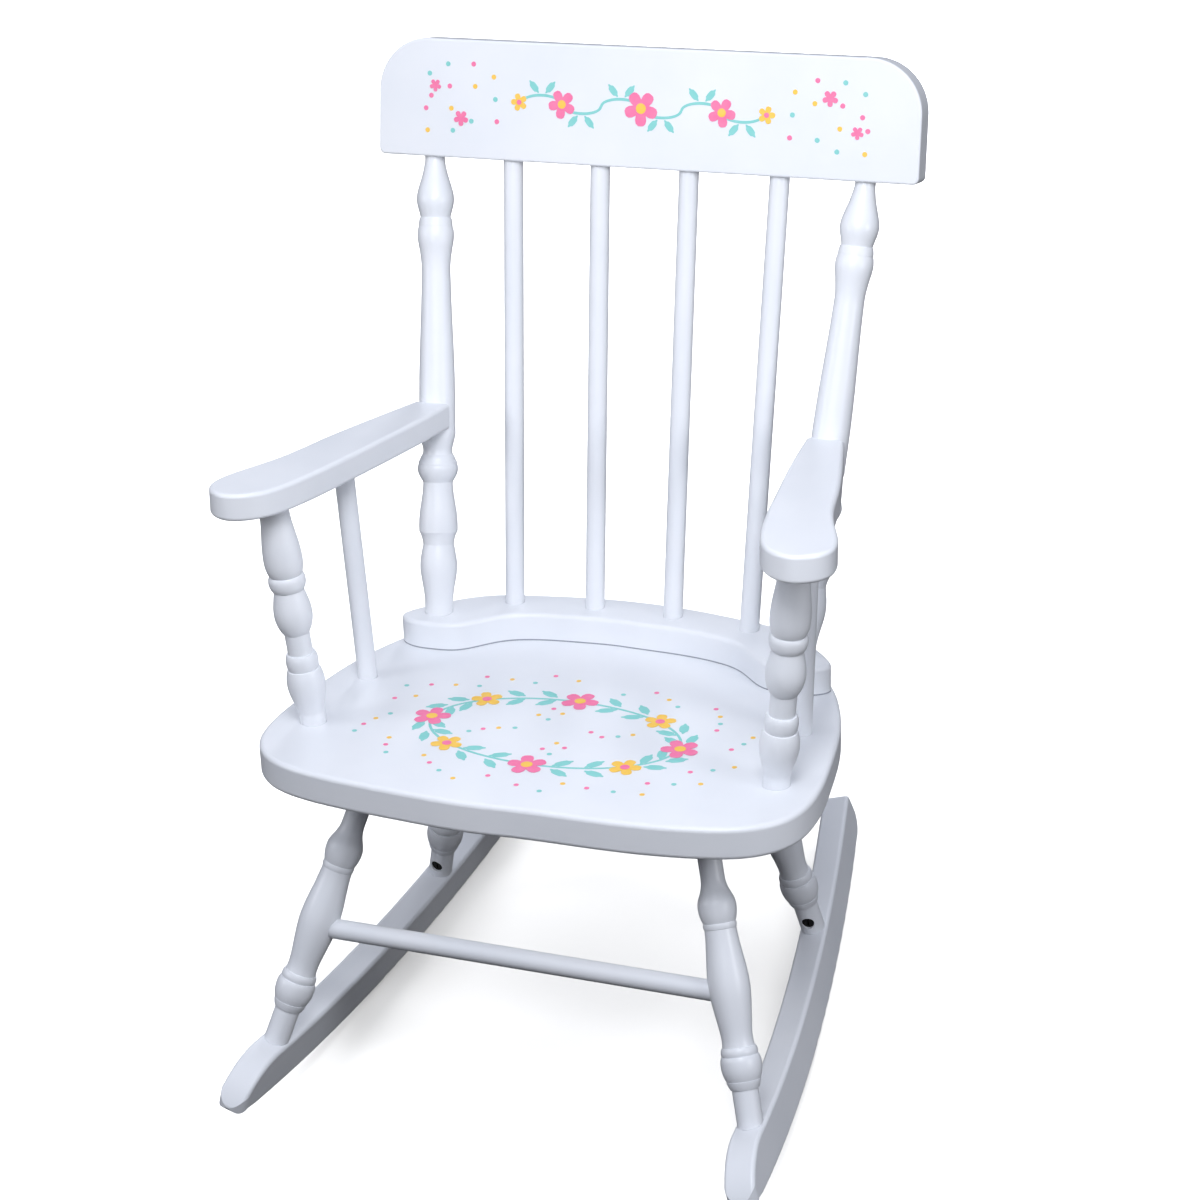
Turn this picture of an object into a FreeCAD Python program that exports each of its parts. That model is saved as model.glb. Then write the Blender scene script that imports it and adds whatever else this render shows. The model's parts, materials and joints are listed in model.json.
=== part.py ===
"""A child's spindle-back rocking chair of painted hardwood.

The chair is laid out in the frame of its seat: x to the right as seen from the front, y to the back,
z up, with the origin on the seat's top face.  Once every piece is made, the whole chair is tilted to the
angle at which it rests on its rockers and set down on the floor.
"""
import FreeCAD
import Part
import Sketcher
import math
import os

Vector = FreeCAD.Vector
Placement = FreeCAD.Placement
Rotation = FreeCAD.Rotation

# Driving sizes: millimetres, and degrees for the angles; a formula ties a place to the board that carries it
SIZES = (
    # Seat board
    ("seat_width", 354.0),
    ("seat_front", 133.5),
    ("seat_back", 138.0),
    ("seat_thickness", 21.0),
    ("seat_edge_radius", 3.0),
    # Bow that carries the back
    ("bow_inset", 30.0),
    ("bow_width", "=seat_width - 2 * bow_inset"),
    ("bow_lobe_front", 61.5),
    ("bow_back", 134.0),
    ("bow_thickness", 19.0),
    ("bow_edge_radius", 3.0),
    # Crest rail
    ("crest_overhang", 2.5),
    ("crest_width", "=seat_width + 2 * crest_overhang"),
    ("crest_height", 75.0),
    ("crest_thickness", 19.5),
    ("crest_corner_radius", 34.0),
    ("crest_foot_radius", 4.0),
    ("crest_edge_radius", 1.5),
    ("crest_rise", 307.0),
    ("crest_setback", 160.0),
    # Turned back posts
    ("post_inset", 22.3),
    ("post_flare", 19.5),
    ("post_base_x", "=bow_width / 2 - post_inset"),
    ("post_base_y", 81.5),
    ("post_top_x", "=post_base_x + post_flare"),
    ("post_diameter", 27.0),
    # Plain dowels: back spindles, arm spindles and stretcher
    ("dowel_diameter", 12.7),
    ("spindle_base_gap", 42.8),
    ("spindle_top_gap", 54.95),
    ("spindle_base_pitch", "=(post_base_x - spindle_base_gap) / 1.5"),
    ("spindle_top_pitch", "=(post_top_x - spindle_top_gap) / 1.5"),
    ("spindle_inner_y", 117.0),
    ("spindle_outer_y", 110.5),
    # Arms
    ("arm_height", 161.0),
    ("arm_slope", 2.85),
    ("arm_reach", 222.0),
    ("arm_width", 47.0),
    ("arm_rear_width", 24.5),
    ("arm_thickness", 17.0),
    ("arm_end_gap", 9.0),
    ("arm_edge_radius", 2.5),
    ("arm_post_inset", 26.2),
    ("arm_post_flare", 13.6),
    ("arm_post_base_x", "=seat_width / 2 - arm_post_inset"),
    ("arm_post_top_x", "=arm_post_base_x + arm_post_flare"),
    ("arm_post_base_y", -59.5),
    ("arm_post_top_y", -64.0),
    ("arm_post_diameter", 24.3),
    ("arm_spindle_inset", 31.1),
    ("arm_spindle_flare", 6.1),
    ("arm_spindle_base_x", "=seat_width / 2 - arm_spindle_inset"),
    ("arm_spindle_top_x", "=arm_spindle_base_x + arm_spindle_flare"),
    ("arm_spindle_base_y", 11.2),
    ("arm_spindle_top_y", 10.0),
    # Rockers and legs
    ("rocker_radius", 820.0),
    ("rocker_height", 29.0),
    ("rocker_thickness", 19.0),
    ("rocker_edge_radius", 2.5),
    ("rocker_nose_length", 40.0),
    ("rocker_nose_low_radius", 3.0),
    ("rocker_nose_corner_radius", 9.0),
    ("rocker_tail_top_radius", 4.0),
    ("rocker_tail_low_radius", 14.0),
    ("rocker_tilt", 14.3),
    ("rocker_toe", 5.1),
    ("rocker_front_reach", 110.5),
    ("rocker_rear_reach", 279.0),
    ("foot_inset", 21.0),
    ("foot_spread", "=seat_width / 2 - foot_inset"),
    ("foot_forward", 133.3),
    ("foot_drop", 188.5),
    ("foot_to_centre", 59.3),
    ("foot_spacing", 212.8),
    ("front_leg_rake", 22.2),
    ("rear_leg_rake", 8.6),
    ("leg_diameter", 26.2),
    # Joints
    ("tenon_depth", 12.0),
    ("fit_clearance", 0.15),
    ("socket_end_gap", 0.4),
    ("cut_overrun", 9.0),
    # Fasteners
    ("bolt_diameter", 5.0),
    ("bolt_head_diameter", 9.5),
    ("bolt_head_height", 3.5),
    ("bolt_head_recess", 6.5),
    ("bolt_tip", 5.5),
    ("nut_diameter", 8.0),
    ("nut_length", 12.5),
    ("nut_height", 9.0),
    ("screw_diameter", 4.0),
    ("screw_head_diameter", 8.0),
    ("screw_head_height", 2.4),
    ("screw_head_recess", 3.0),
    ("screw_bite", 11.0),
    ("arm_screw_bite", 28.0),
    ("bow_screw_inner_x", "=spindle_base_pitch"),
    ("bow_screw_inner_y", 113.0),
    ("bow_screw_gap", 20.7),
    ("bow_screw_outer_x", "=post_base_x - bow_screw_gap"),
    ("bow_screw_outer_y", 96.0),
)

# Where along the leg, from foot to seat, the stretcher goes in
STRETCHER_SHARE = 0.415

# Densities that find the balance, in grams per cubic millimetre
WOOD_DENSITY = 0.00068
STEEL_DENSITY = 0.00785

# Seat outline, right half, front to back: shares of the half width, and of the front or back reach
SEAT_SHARES = (
    (0.0, -1.0), (0.40, -0.985), (0.70, -0.938), (0.87, -0.855), (0.965, -0.715), (1.0, -0.52),
    (0.985, -0.17), (0.945, 0.17), (0.88, 0.44), (0.80, 0.64), (0.66, 0.82), (0.42, 0.95), (0.0, 1.0),
)

# Bow outline, right half, front to back: shares of the half width and of the depth behind the lobes
BOW_SHARES = (
    (0.0, 0.53), (0.22, 0.51), (0.42, 0.452), (0.55, 0.345), (0.635, 0.185), (0.72, 0.04), (0.83, 0.0),
    (0.94, 0.025), (1.0, 0.14), (0.967, 0.29), (0.87, 0.505), (0.70, 0.765), (0.50, 0.88), (0.26, 0.965),
    (0.0, 1.0),
)

# Arm outline from the rear outer corner round the front: shares of the width outward and of the reach
ARM_SHARES = (
    (0.495, 0.233), (0.75, 0.470), (0.907, 0.640), (1.08, 0.751), (1.243, 0.856), (1.22, 0.944),
    (0.86, 1.0), (0.49, 0.957), (0.307, 0.878), (0.185, 0.771), (0.02, 0.544), (-0.135, 0.301),
)

# Turned profiles from the lower end up: runs of shares of the turned length and of the full radius
POST_SHARES = (
    ((0.0, 0.69), (0.02, 0.69)),
    ((0.02, 0.69), (0.05, 0.755), (0.075, 0.85), (0.102, 0.91), (0.125, 0.86), (0.150, 0.755)),
    ((0.150, 0.755), (0.165, 0.81), (0.178, 0.925)),
    ((0.178, 0.94), (0.200, 0.945), (0.225, 0.895), (0.255, 0.79), (0.288, 0.725)),
    ((0.290, 0.745), (0.302, 0.90), (0.316, 0.99), (0.326, 0.965)),
    ((0.326, 0.945), (0.332, 0.935), (0.337, 0.89)),
    ((0.337, 0.87), (0.343, 0.835), (0.348, 0.77)),
    ((0.350, 0.735), (0.360, 0.71), (0.372, 0.765), (0.387, 0.855), (0.400, 0.88)),
    ((0.400, 0.88), (0.480, 0.88)),
    ((0.480, 0.88), (0.60, 0.81), (0.70, 0.725), (0.750, 0.70)),
    ((0.750, 0.70), (0.775, 0.725), (0.800, 0.805), (0.827, 0.89), (0.841, 0.86), (0.849, 0.81)),
    ((0.849, 0.825), (0.858, 0.805), (0.866, 0.76)),
    ((0.866, 0.725), (0.882, 0.815), (0.903, 0.905), (0.925, 0.84), (0.950, 0.67), (0.972, 0.545),
     (0.99, 0.48)),
    ((0.99, 0.48), (1.0, 0.48)),
)
POST_ARM_SEAT_SHARE = 0.88
ARM_POST_SHARES = (
    ((0.0, 0.685), (0.05, 0.685)),
    ((0.05, 0.685), (0.105, 0.835), (0.172, 0.985), (0.215, 0.955), (0.248, 0.84)),
    ((0.250, 0.78), (0.270, 0.83), (0.292, 0.835), (0.312, 0.785), (0.321, 0.73)),
    ((0.321, 0.65), (0.414, 0.65)),
    ((0.416, 0.68), (0.450, 0.88), (0.500, 0.985), (0.555, 0.91), (0.609, 0.77)),
    ((0.612, 0.82), (0.628, 0.915), (0.649, 0.955), (0.668, 0.92), (0.678, 0.85)),
    ((0.678, 0.83), (0.707, 0.95), (0.755, 0.99), (0.803, 0.955), (0.860, 0.865), (0.910, 0.79),
     (0.950, 0.76)),
    ((0.950, 0.76), (1.0, 0.76)),
)
LEG_SHARES = (
    ((0.0, 0.61), (0.111, 0.61)),
    ((0.112, 0.66), (0.127, 0.755), (0.139, 0.80)),
    ((0.139, 0.78), (0.162, 0.90), (0.190, 0.945), (0.210, 0.91), (0.218, 0.865)),
    ((0.218, 0.825), (0.233, 0.85), (0.246, 0.785)),
    ((0.247, 0.745), (0.275, 0.72), (0.312, 0.77), (0.37, 0.88), (0.435, 0.96), (0.50, 0.91), (0.565, 0.80),
     (0.624, 0.735)),
    ((0.626, 0.755), (0.634, 0.775), (0.642, 0.765)),
    ((0.644, 0.745), (0.664, 0.84), (0.690, 0.89), (0.713, 0.86), (0.741, 0.70), (0.766, 0.59),
     (0.788, 0.56)),
    ((0.788, 0.56), (1.0, 0.56)),
)

doc = FreeCAD.newDocument("rocking_chair")
sheet = doc.addObject("Spreadsheet::Sheet", "sizes")


def fill_sheet():
    """Writes the driving sizes, one row each, name beside number or formula."""
    for row, (alias, content) in enumerate(SIZES, start=1):
        sheet.set(f"A{row}", alias)
        sheet.set(f"B{row}", str(content))
        sheet.setAlias(f"B{row}", alias)
    doc.recompute()


def size(alias):
    """A driving size as a number."""
    return float(sheet.get(alias))


def tan_deg(alias):
    """The tangent of a driving angle."""
    return math.tan(math.radians(size(alias)))


# Sketches and bodies

def new_body(label):
    body = doc.addObject("PartDesign::Body", label)
    body.Label = label
    return body


def new_sketch(body, role):
    """A sketch on one of the body's own origin planes."""
    plane = next(item for item in body.Origin.OriginFeatures if item.Role == role)
    sketch = body.newObject("Sketcher::SketchObject", body.Label + "_sketch")
    sketch.AttachmentSupport = (plane, [""])
    sketch.MapMode = "FlatFace"
    return sketch


def bind(sketch, name, constraint, expression):
    """A named sketch dimension that follows the sheet."""
    index = sketch.addConstraint(constraint)
    sketch.renameConstraint(index, name)
    sketch.setExpression("Constraints." + name, expression)


def spline(points, closed=False):
    curve = Part.BSplineCurve()
    curve.interpolate(Points=points, PeriodicFlag=closed)
    return curve


def mirrored_loop(half):
    """A closed run of points from its right half, which starts and ends on the middle line."""
    inner = [Vector(-point.x, point.y, 0) for point in half[1:-1]]
    return half + inner[::-1]


def pad(body, sketch, thickness, centred=False, downward=False):
    feature = body.newObject("PartDesign::Pad", body.Label + "_pad")
    feature.Profile = sketch
    feature.setExpression("Length", thickness)
    feature.Midplane = centred
    feature.Reversed = downward
    doc.recompute()
    return feature


def round_rims(body, feature, radius, straight=True):
    """Rounds the edges that run round the two flat faces of a pad: all of them, or only the curved ones."""
    whole = feature.Shape.optimalBoundingBox(False, False)
    low, high = whole.ZMin, whole.ZMax
    slack = (high - low) / 100
    names = []
    for number, edge in enumerate(feature.Shape.Edges, start=1):
        box = edge.BoundBox
        on_rim = box.ZMax < low + slack or box.ZMin > high - slack
        if on_rim and (straight or edge.Curve.TypeId != "Part::GeomLine"):
            names.append(f"Edge{number}")
    fillet = body.newObject("PartDesign::Fillet", body.Label + "_rims")
    fillet.Base = (feature, names)
    fillet.setExpression("Radius", radius)
    doc.recompute()
    return fillet


def turned_body(label, runs, length, diameter, lower_stub, upper_stub, pattern_length=None):
    """A turned stick along z: runs of the profile between two plain stubs that go into sockets.

    The runs follow the pattern's length, which is the stick's own unless a longer stick sets it.
    """
    body = new_body(label)
    sketch = new_sketch(body, "XZ_Plane")
    radius = size(diameter) / 2
    pattern = pattern_length or length
    lines = [[Vector(share_r * radius, share_z * pattern, 0) for share_z, share_r in run] for run in runs]
    lines[-1][-1].y = length
    low, high = lines[0][0].x, lines[-1][-1].x
    foot = [Vector(0, -lower_stub, 0), Vector(low, -lower_stub, 0), lines[0][0]]
    head = [Vector(high, length + upper_stub, 0), Vector(0, length + upper_stub, 0), foot[0]]
    floor = sketch.addGeometry(Part.LineSegment(foot[0], foot[1]))
    last = foot[1]
    for line in lines:
        if last.distanceToPoint(line[0]) > 0:
            sketch.addGeometry(Part.LineSegment(last, line[0]))
        curved = len(line) > 2
        sketch.addGeometry(spline(line) if curved else Part.LineSegment(line[0], line[1]))
        last = line[-1]
    for point in head:
        sketch.addGeometry(Part.LineSegment(last, point))
        last = point
    bind(sketch, "foot_radius", Sketcher.Constraint("DistanceX", floor, 1, floor, 2, low),
         f"sizes.{diameter} / 2 * {runs[0][0][1]}")
    turn = body.newObject("PartDesign::Revolution", label + "_turning")
    turn.Profile = sketch
    turn.ReferenceAxis = (sketch, ["V_Axis"])
    turn.Angle = 360
    doc.recompute()
    return body


# Primitives and joints

def along(base, tip):
    """The placement that stands a stick's own z on the line from base to tip."""
    return Placement(base, Rotation(Vector(0, 0, 1), tip - base))


def cylinder(label, radius, height, placement):
    """A round bar on a placement's z; its radius is an expression of the sheet."""
    bar = doc.addObject("Part::Cylinder", label)
    bar.setExpression("Radius", radius)
    bar.Height = height
    bar.Placement = placement
    return bar


def slid(placement, distance):
    """A placement moved along its own z."""
    return placement.multiply(Placement(Vector(0, 0, distance), Rotation()))


def cut(label, base, tools):
    """Base with every tool taken out of it, as the sub-part named by the label."""
    group = doc.addObject("Part::MultiFuse", label + "_tools")
    group.Shapes = tools
    result = doc.addObject("Part::Cut", label)
    result.Base = base
    result.Tool = group
    base.Label = label + "_blank"
    result.Label = label
    return result


def socket(label, line, radius, mouth, upward):
    """A blind hole for a stick's end: it starts outside the mouth and goes a tenon's depth past it."""
    deep = size("tenon_depth") + size("socket_end_gap")
    start = mouth - size("cut_overrun") if upward else mouth - deep
    return cylinder(label, f"{radius} + sizes.fit_clearance", deep + size("cut_overrun"), slid(line, start))


def check(obj):
    if "Invalid" in obj.State or "Error" in obj.State:
        raise RuntimeError(f"{obj.Label} failed: {obj.State}")


fill_sheet()
parts = []
bow_top = size("bow_thickness")
seat_under = -size("seat_thickness")
tenon = size("tenon_depth")
DOWEL_RADIUS = "sizes.dowel_diameter / 2"
POST_FOOT_RADIUS = f"sizes.post_diameter / 2 * {POST_SHARES[0][0][1]}"
POST_NECK_RADIUS = f"sizes.post_diameter / 2 * {POST_SHARES[-1][-1][1]}"
POST_WAIST_RADIUS = f"sizes.post_diameter / 2 * {POST_ARM_SEAT_SHARE}"
ARM_POST_FOOT_RADIUS = f"sizes.arm_post_diameter / 2 * {ARM_POST_SHARES[0][0][1]}"
ARM_POST_HEAD_RADIUS = f"sizes.arm_post_diameter / 2 * {ARM_POST_SHARES[-1][-1][1]}"
LEG_HEAD_RADIUS = f"sizes.leg_diameter / 2 * {LEG_SHARES[-1][-1][1]}"
SCREW_HOLE_RADIUS = "sizes.screw_diameter / 2 + sizes.fit_clearance"
BOLT_HOLE_RADIUS = "sizes.bolt_diameter / 2 + sizes.fit_clearance"
SIDES = (("left", -1), ("right", 1))


# Lines of the back: posts and spindles from the bow's top to the crest's lower edge

crest_foot = Vector(0, size("crest_setback"), size("crest_rise"))
post_lines = {}
for side, sign in SIDES:
    base = Vector(sign * size("post_base_x"), size("post_base_y"), bow_top)
    tip = Vector(sign * size("post_top_x"), crest_foot.y, crest_foot.z)
    post_lines[side] = (base, tip)
spindle_lines = []
for place in (-1.5, -0.5, 0.5, 1.5):
    base_y = size("spindle_outer_y") if abs(place) > 1 else size("spindle_inner_y")
    base = Vector(place * size("spindle_base_pitch"), base_y, bow_top)
    tip = Vector(place * size("spindle_top_pitch"), crest_foot.y, crest_foot.z)
    spindle_lines.append((base, tip))
spindle_middle_y = (size("spindle_outer_y") + size("spindle_inner_y")) / 2
crest_lean = math.degrees(math.atan2(crest_foot.y - spindle_middle_y, crest_foot.z - bow_top))

# Lines of the arms: the arm's top face slopes up to the front about the seat's x

arm_turn = Rotation(Vector(1, 0, 0), -size("arm_slope"))
arm_down = size("arm_thickness") / math.cos(math.radians(size("arm_slope")))


def arm_under(y):
    """Height of the arm's lower face over the seat."""
    return size("arm_height") - arm_down - tan_deg("arm_slope") * y


def post_at_arm(side):
    """Where the back post's axis meets the middle of the arm's thickness."""
    base, tip = post_lines[side]
    run = tip - base
    gap = arm_under(base.y) + arm_down / 2 - base.z
    return base + run * (gap / (run.z + tan_deg("arm_slope") * run.y))


arm_post_lines = {}
arm_spindle_lines = {}
for name, table in (("arm_post", arm_post_lines), ("arm_spindle", arm_spindle_lines)):
    for side, sign in SIDES:
        base = Vector(sign * size(name + "_base_x"), size(name + "_base_y"), 0)
        top_y = size(name + "_top_y")
        table[side] = (base, Vector(sign * size(name + "_top_x"), top_y, arm_under(top_y)))

# Each side's two legs and its rocker lie in one plane that leans out at the foot and toes in at the back

toe = math.radians(size("rocker_toe"))
tilt = math.radians(size("rocker_tilt"))
arc_radius = size("rocker_radius")
arc_height = math.sqrt(arc_radius ** 2 - size("foot_to_centre") ** 2)


class Flank:
    """The plane of one side: back runs along the rocker, up lies in the plane, out is square to it."""

    def __init__(self, sign):
        self.back = Vector(-sign * math.sin(toe), math.cos(toe), 0)
        inward = Vector(-sign * math.cos(toe), -math.sin(toe), 0)
        self.up = inward * math.sin(tilt) + Vector(0, 0, math.cos(tilt))
        self.out = self.back.cross(self.up)
        self.foot = Vector(sign * size("foot_spread"), -size("foot_forward"), -size("foot_drop"))
        self.centre = self.point(size("foot_to_centre"), arc_height)

    def point(self, back, up):
        return self.foot + self.back * back + self.up * up

    def placement(self):
        """The rocker's own frame: its origin at the arc's centre, x along it and y up."""
        turn = Rotation(self.back, self.up, self.out, "XYZ")
        return Placement(self.centre, turn)

    def leg(self, end):
        """Foot and head of the front or rear leg, on the rocker's top and on the seat's underside."""
        if end == "front":
            foot = self.foot
            lean = math.radians(size("front_leg_rake"))
        else:
            behind = size("foot_spacing") - size("foot_to_centre")
            foot = self.point(size("foot_spacing"), arc_height - math.sqrt(arc_radius ** 2 - behind ** 2))
            lean = -math.radians(size("rear_leg_rake"))
        way = self.up * math.cos(lean) + self.back * math.sin(lean)
        return foot, foot + way * ((seat_under - foot.z) / way.z)


flanks = {side: Flank(sign) for side, sign in SIDES}
leg_lines = {(end, side): flanks[side].leg(end) for end in ("front", "rear") for side, sign in SIDES}
bow_screw_places = [Vector(sign * size(f"bow_screw_{row}_x"), size(f"bow_screw_{row}_y"), seat_under)
                    for row in ("inner", "outer") for side, sign in SIDES]


def screw_holes(label, placement, depth):
    """A screw's clearance hole and the recess for its head; the placement starts at the head's side."""
    outside = slid(placement, -size("cut_overrun"))
    shank = cylinder(label + "_hole", SCREW_HOLE_RADIUS, depth + size("cut_overrun"), outside)
    recess = cylinder(label + "_recess", "sizes.screw_head_diameter / 2 + sizes.fit_clearance",
                      size("screw_head_recess") + size("cut_overrun"), outside)
    return [shank, recess]


def screw(label, placement, reach):
    """A flat-headed screw whose head seats at the bottom of its recess."""
    seated = slid(placement, size("screw_head_recess") - size("screw_head_height"))
    head = cylinder(label + "_head", "sizes.screw_head_diameter / 2", size("screw_head_height"), seated)
    shank = cylinder(label + "_shank", "sizes.screw_diameter / 2",
                     reach - size("screw_head_recess") + size("screw_head_height"), seated)
    body = doc.addObject("Part::Fuse", label)
    body.Base = head
    body.Tool = shank
    return body


def fastener_group(label, pieces):
    group = doc.addObject("Part::Compound", label)
    group.Label = label
    group.Links = pieces
    parts.append(group)


# Seat board

def make_seat():
    body = new_body("seat_blank")
    sketch = new_sketch(body, "XY_Plane")
    half = [Vector(x * size("seat_width") / 2, y * size("seat_front" if y < 0 else "seat_back"), 0)
            for x, y in SEAT_SHARES]
    sketch.addGeometry(spline(mirrored_loop(half), closed=True))
    plate = pad(body, sketch, "sizes.seat_thickness", downward=True)
    round_rims(body, plate, "sizes.seat_edge_radius")
    tools = []
    for (end, side), (foot, head) in leg_lines.items():
        line = along(foot, head)
        tools.append(socket(f"seat_leg_{end}_{side}", line, LEG_HEAD_RADIUS, (head - foot).Length, True))
    for side, sign in SIDES:
        base, tip = arm_post_lines[side]
        tools.append(socket(f"seat_arm_post_{side}", along(base, tip), ARM_POST_FOOT_RADIUS, 0, False))
        base, tip = arm_spindle_lines[side]
        tools.append(socket(f"seat_arm_spindle_{side}", along(base, tip), DOWEL_RADIUS, 0, False))
    for number, place in enumerate(bow_screw_places, start=1):
        depth = size("seat_thickness") + size("cut_overrun")
        tools += screw_holes(f"seat_screw_{number}", Placement(place, Rotation()), depth)
    parts.append(cut("seat_board", body, tools))


# Bow: the crescent board under the back, with a lobe round each post

def make_bow():
    body = new_body("bow_blank")
    sketch = new_sketch(body, "XY_Plane")
    depth = size("bow_back") - size("bow_lobe_front")
    half = [Vector(x * size("bow_width") / 2, size("bow_lobe_front") + y * depth, 0) for x, y in BOW_SHARES]
    sketch.addGeometry(spline(mirrored_loop(half), closed=True))
    plate = pad(body, sketch, "sizes.bow_thickness")
    high = plate.Shape.BoundBox.ZMax
    names = [f"Edge{number}" for number, edge in enumerate(plate.Shape.Edges, start=1)
             if edge.BoundBox.ZMin > high - size("bow_thickness") / 2]
    fillet = body.newObject("PartDesign::Fillet", "bow_rim")
    fillet.Base = (plate, names)
    fillet.setExpression("Radius", "sizes.bow_edge_radius")
    tools = []
    for side, (base, tip) in post_lines.items():
        tools.append(socket(f"bow_post_{side}", along(base, tip), POST_FOOT_RADIUS, 0, False))
    for number, (base, tip) in enumerate(spindle_lines, start=1):
        tools.append(socket(f"bow_spindle_{number}", along(base, tip), DOWEL_RADIUS, 0, False))
    for number, place in enumerate(bow_screw_places, start=1):
        start = Placement(Vector(place.x, place.y, -size("cut_overrun")), Rotation())
        reach = size("cut_overrun") + size("screw_bite") + size("socket_end_gap")
        tools.append(cylinder(f"bow_pilot_{number}", SCREW_HOLE_RADIUS, reach, start))
    parts.append(cut("back_bow", body, tools))


# Crest rail: a flat board with two large upper corners, leaning back with the spindles

def make_crest():
    body = new_body("crest_blank")
    sketch = new_sketch(body, "XY_Plane")
    half = size("crest_width") / 2
    tall = size("crest_height")
    top_r = size("crest_corner_radius")
    foot_r = size("crest_foot_radius")
    sketch.addGeometry(Part.LineSegment(Vector(foot_r - half, 0, 0), Vector(half - foot_r, 0, 0)))
    right = sketch.addGeometry(Part.LineSegment(Vector(half, foot_r, 0), Vector(half, tall - top_r, 0)))
    top = sketch.addGeometry(Part.LineSegment(Vector(half - top_r, tall, 0), Vector(top_r - half, tall, 0)))
    left = sketch.addGeometry(Part.LineSegment(Vector(-half, tall - top_r, 0), Vector(-half, foot_r, 0)))
    corners = (("foot_right", half - foot_r, foot_r, foot_r, -90),
               ("top_right", half - top_r, tall - top_r, top_r, 0),
               ("top_left", top_r - half, tall - top_r, top_r, 90),
               ("foot_left", foot_r - half, foot_r, foot_r, 180))
    for name, x, y, radius, start in corners:
        circle = Part.Circle(Vector(x, y, 0), Vector(0, 0, 1), radius)
        arc = sketch.addGeometry(Part.ArcOfCircle(circle, math.radians(start), math.radians(start + 90)))
        source = "crest_foot_radius" if name.startswith("foot") else "crest_corner_radius"
        bind(sketch, name, Sketcher.Constraint("Radius", arc, radius), "sizes." + source)
    bind(sketch, "width", Sketcher.Constraint("DistanceX", left, 1, right, 1, 2 * half), "sizes.crest_width")
    bind(sketch, "height", Sketcher.Constraint("DistanceY", -1, 1, top, 1, tall), "sizes.crest_height")
    plate = pad(body, sketch, "sizes.crest_thickness", centred=True)
    round_rims(body, plate, "sizes.crest_edge_radius")
    body.Placement = Placement(crest_foot, Rotation(Vector(1, 0, 0), 90 - crest_lean))
    tools = []
    for side, (base, tip) in post_lines.items():
        reach = (tip - base).Length
        tools.append(socket(f"crest_post_{side}", along(base, tip), POST_NECK_RADIUS, reach, True))
    for number, (base, tip) in enumerate(spindle_lines, start=1):
        reach = (tip - base).Length
        tools.append(socket(f"crest_spindle_{number}", along(base, tip), DOWEL_RADIUS, reach, True))
    parts.append(cut("crest_rail", body, tools))


# Turned back posts, each drilled for the screw that holds its arm

def arm_screw_placement(side):
    """The arm screw's line: it starts on the back of the post and runs forward along the arm."""
    forward = arm_turn.multVec(Vector(0, -1, 0))
    behind = size("post_diameter") / 2 * POST_ARM_SEAT_SHARE
    start = post_at_arm(side) - forward * behind
    return Placement(start, Rotation(Vector(0, 0, 1), forward))


def make_posts():
    for side, (base, tip) in post_lines.items():
        length = (tip - base).Length
        body = turned_body(f"post_{side}", POST_SHARES, length, "post_diameter", tenon, tenon)
        body.Placement = along(base, tip)
        holes = screw_holes(f"post_{side}_screw", arm_screw_placement(side), size("post_diameter"))
        parts.append(cut(f"back_post_{side}", body, holes))


def dowel(label, base, tip):
    """A plain dowel from base to tip, with a tenon's depth more at each end."""
    span = (tip - base).Length
    bar = cylinder(label, DOWEL_RADIUS, span + 2 * tenon, slid(along(base, tip), -tenon))
    bar.Label = label
    parts.append(bar)


def make_spindles():
    for number, (base, tip) in enumerate(spindle_lines, start=1):
        dowel(f"back_spindle_{number}", base, tip)
    for side, (base, tip) in arm_spindle_lines.items():
        dowel(f"arm_spindle_{side}", base, tip)


# Arms: paddles that butt on the back posts and sit on the arm posts and arm spindles

def make_arms():
    for side, sign in SIDES:
        body = new_body(f"arm_{side}")
        sketch = new_sketch(body, "XY_Plane")
        meet = post_at_arm(side)
        rear = size("arm_rear_width") / 2
        heel = -size("arm_end_gap")
        width, length = size("arm_width"), size("arm_reach")
        outline = [Vector(rear, heel, 0)]
        outline += [Vector(out * width, -reach * length, 0) for out, reach in ARM_SHARES]
        outline += [Vector(-rear, heel, 0)]
        outline = [Vector(sign * point.x, point.y, 0) for point in outline]
        sketch.addGeometry(spline(outline))
        end = sketch.addGeometry(Part.LineSegment(outline[-1], outline[0]))
        low, high = (1, 2) if sign > 0 else (2, 1)
        bind(sketch, "rear_width", Sketcher.Constraint("DistanceX", end, low, end, high, 2 * rear),
             "sizes.arm_rear_width")
        plate = pad(body, sketch, "sizes.arm_thickness", centred=True)
        round_rims(body, plate, "sizes.arm_edge_radius", straight=False)
        body.Placement = Placement(meet, arm_turn)
        base, tip = post_lines[side]
        post_line = along(base, tip)
        cope_height = 4 * size("arm_thickness")
        cope_radius = f"{POST_WAIST_RADIUS} + sizes.fit_clearance"
        cope_start = slid(post_line, (meet - base).Length - cope_height / 2)
        tools = [cylinder(f"arm_{side}_cope", cope_radius, cope_height, cope_start)]
        base, tip = arm_post_lines[side]
        reach = (tip - base).Length
        tools.append(socket(f"arm_post_top_{side}", along(base, tip), ARM_POST_HEAD_RADIUS, reach, True))
        base, tip = arm_spindle_lines[side]
        reach = (tip - base).Length
        tools.append(socket(f"arm_spindle_top_{side}", along(base, tip), DOWEL_RADIUS, reach, True))
        depth = size("post_diameter") + size("arm_screw_bite") + size("socket_end_gap")
        tools.append(cylinder(f"arm_{side}_pilot", SCREW_HOLE_RADIUS, depth, arm_screw_placement(side)))
        parts.append(cut(f"armrest_{side}", body, tools))


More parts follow.
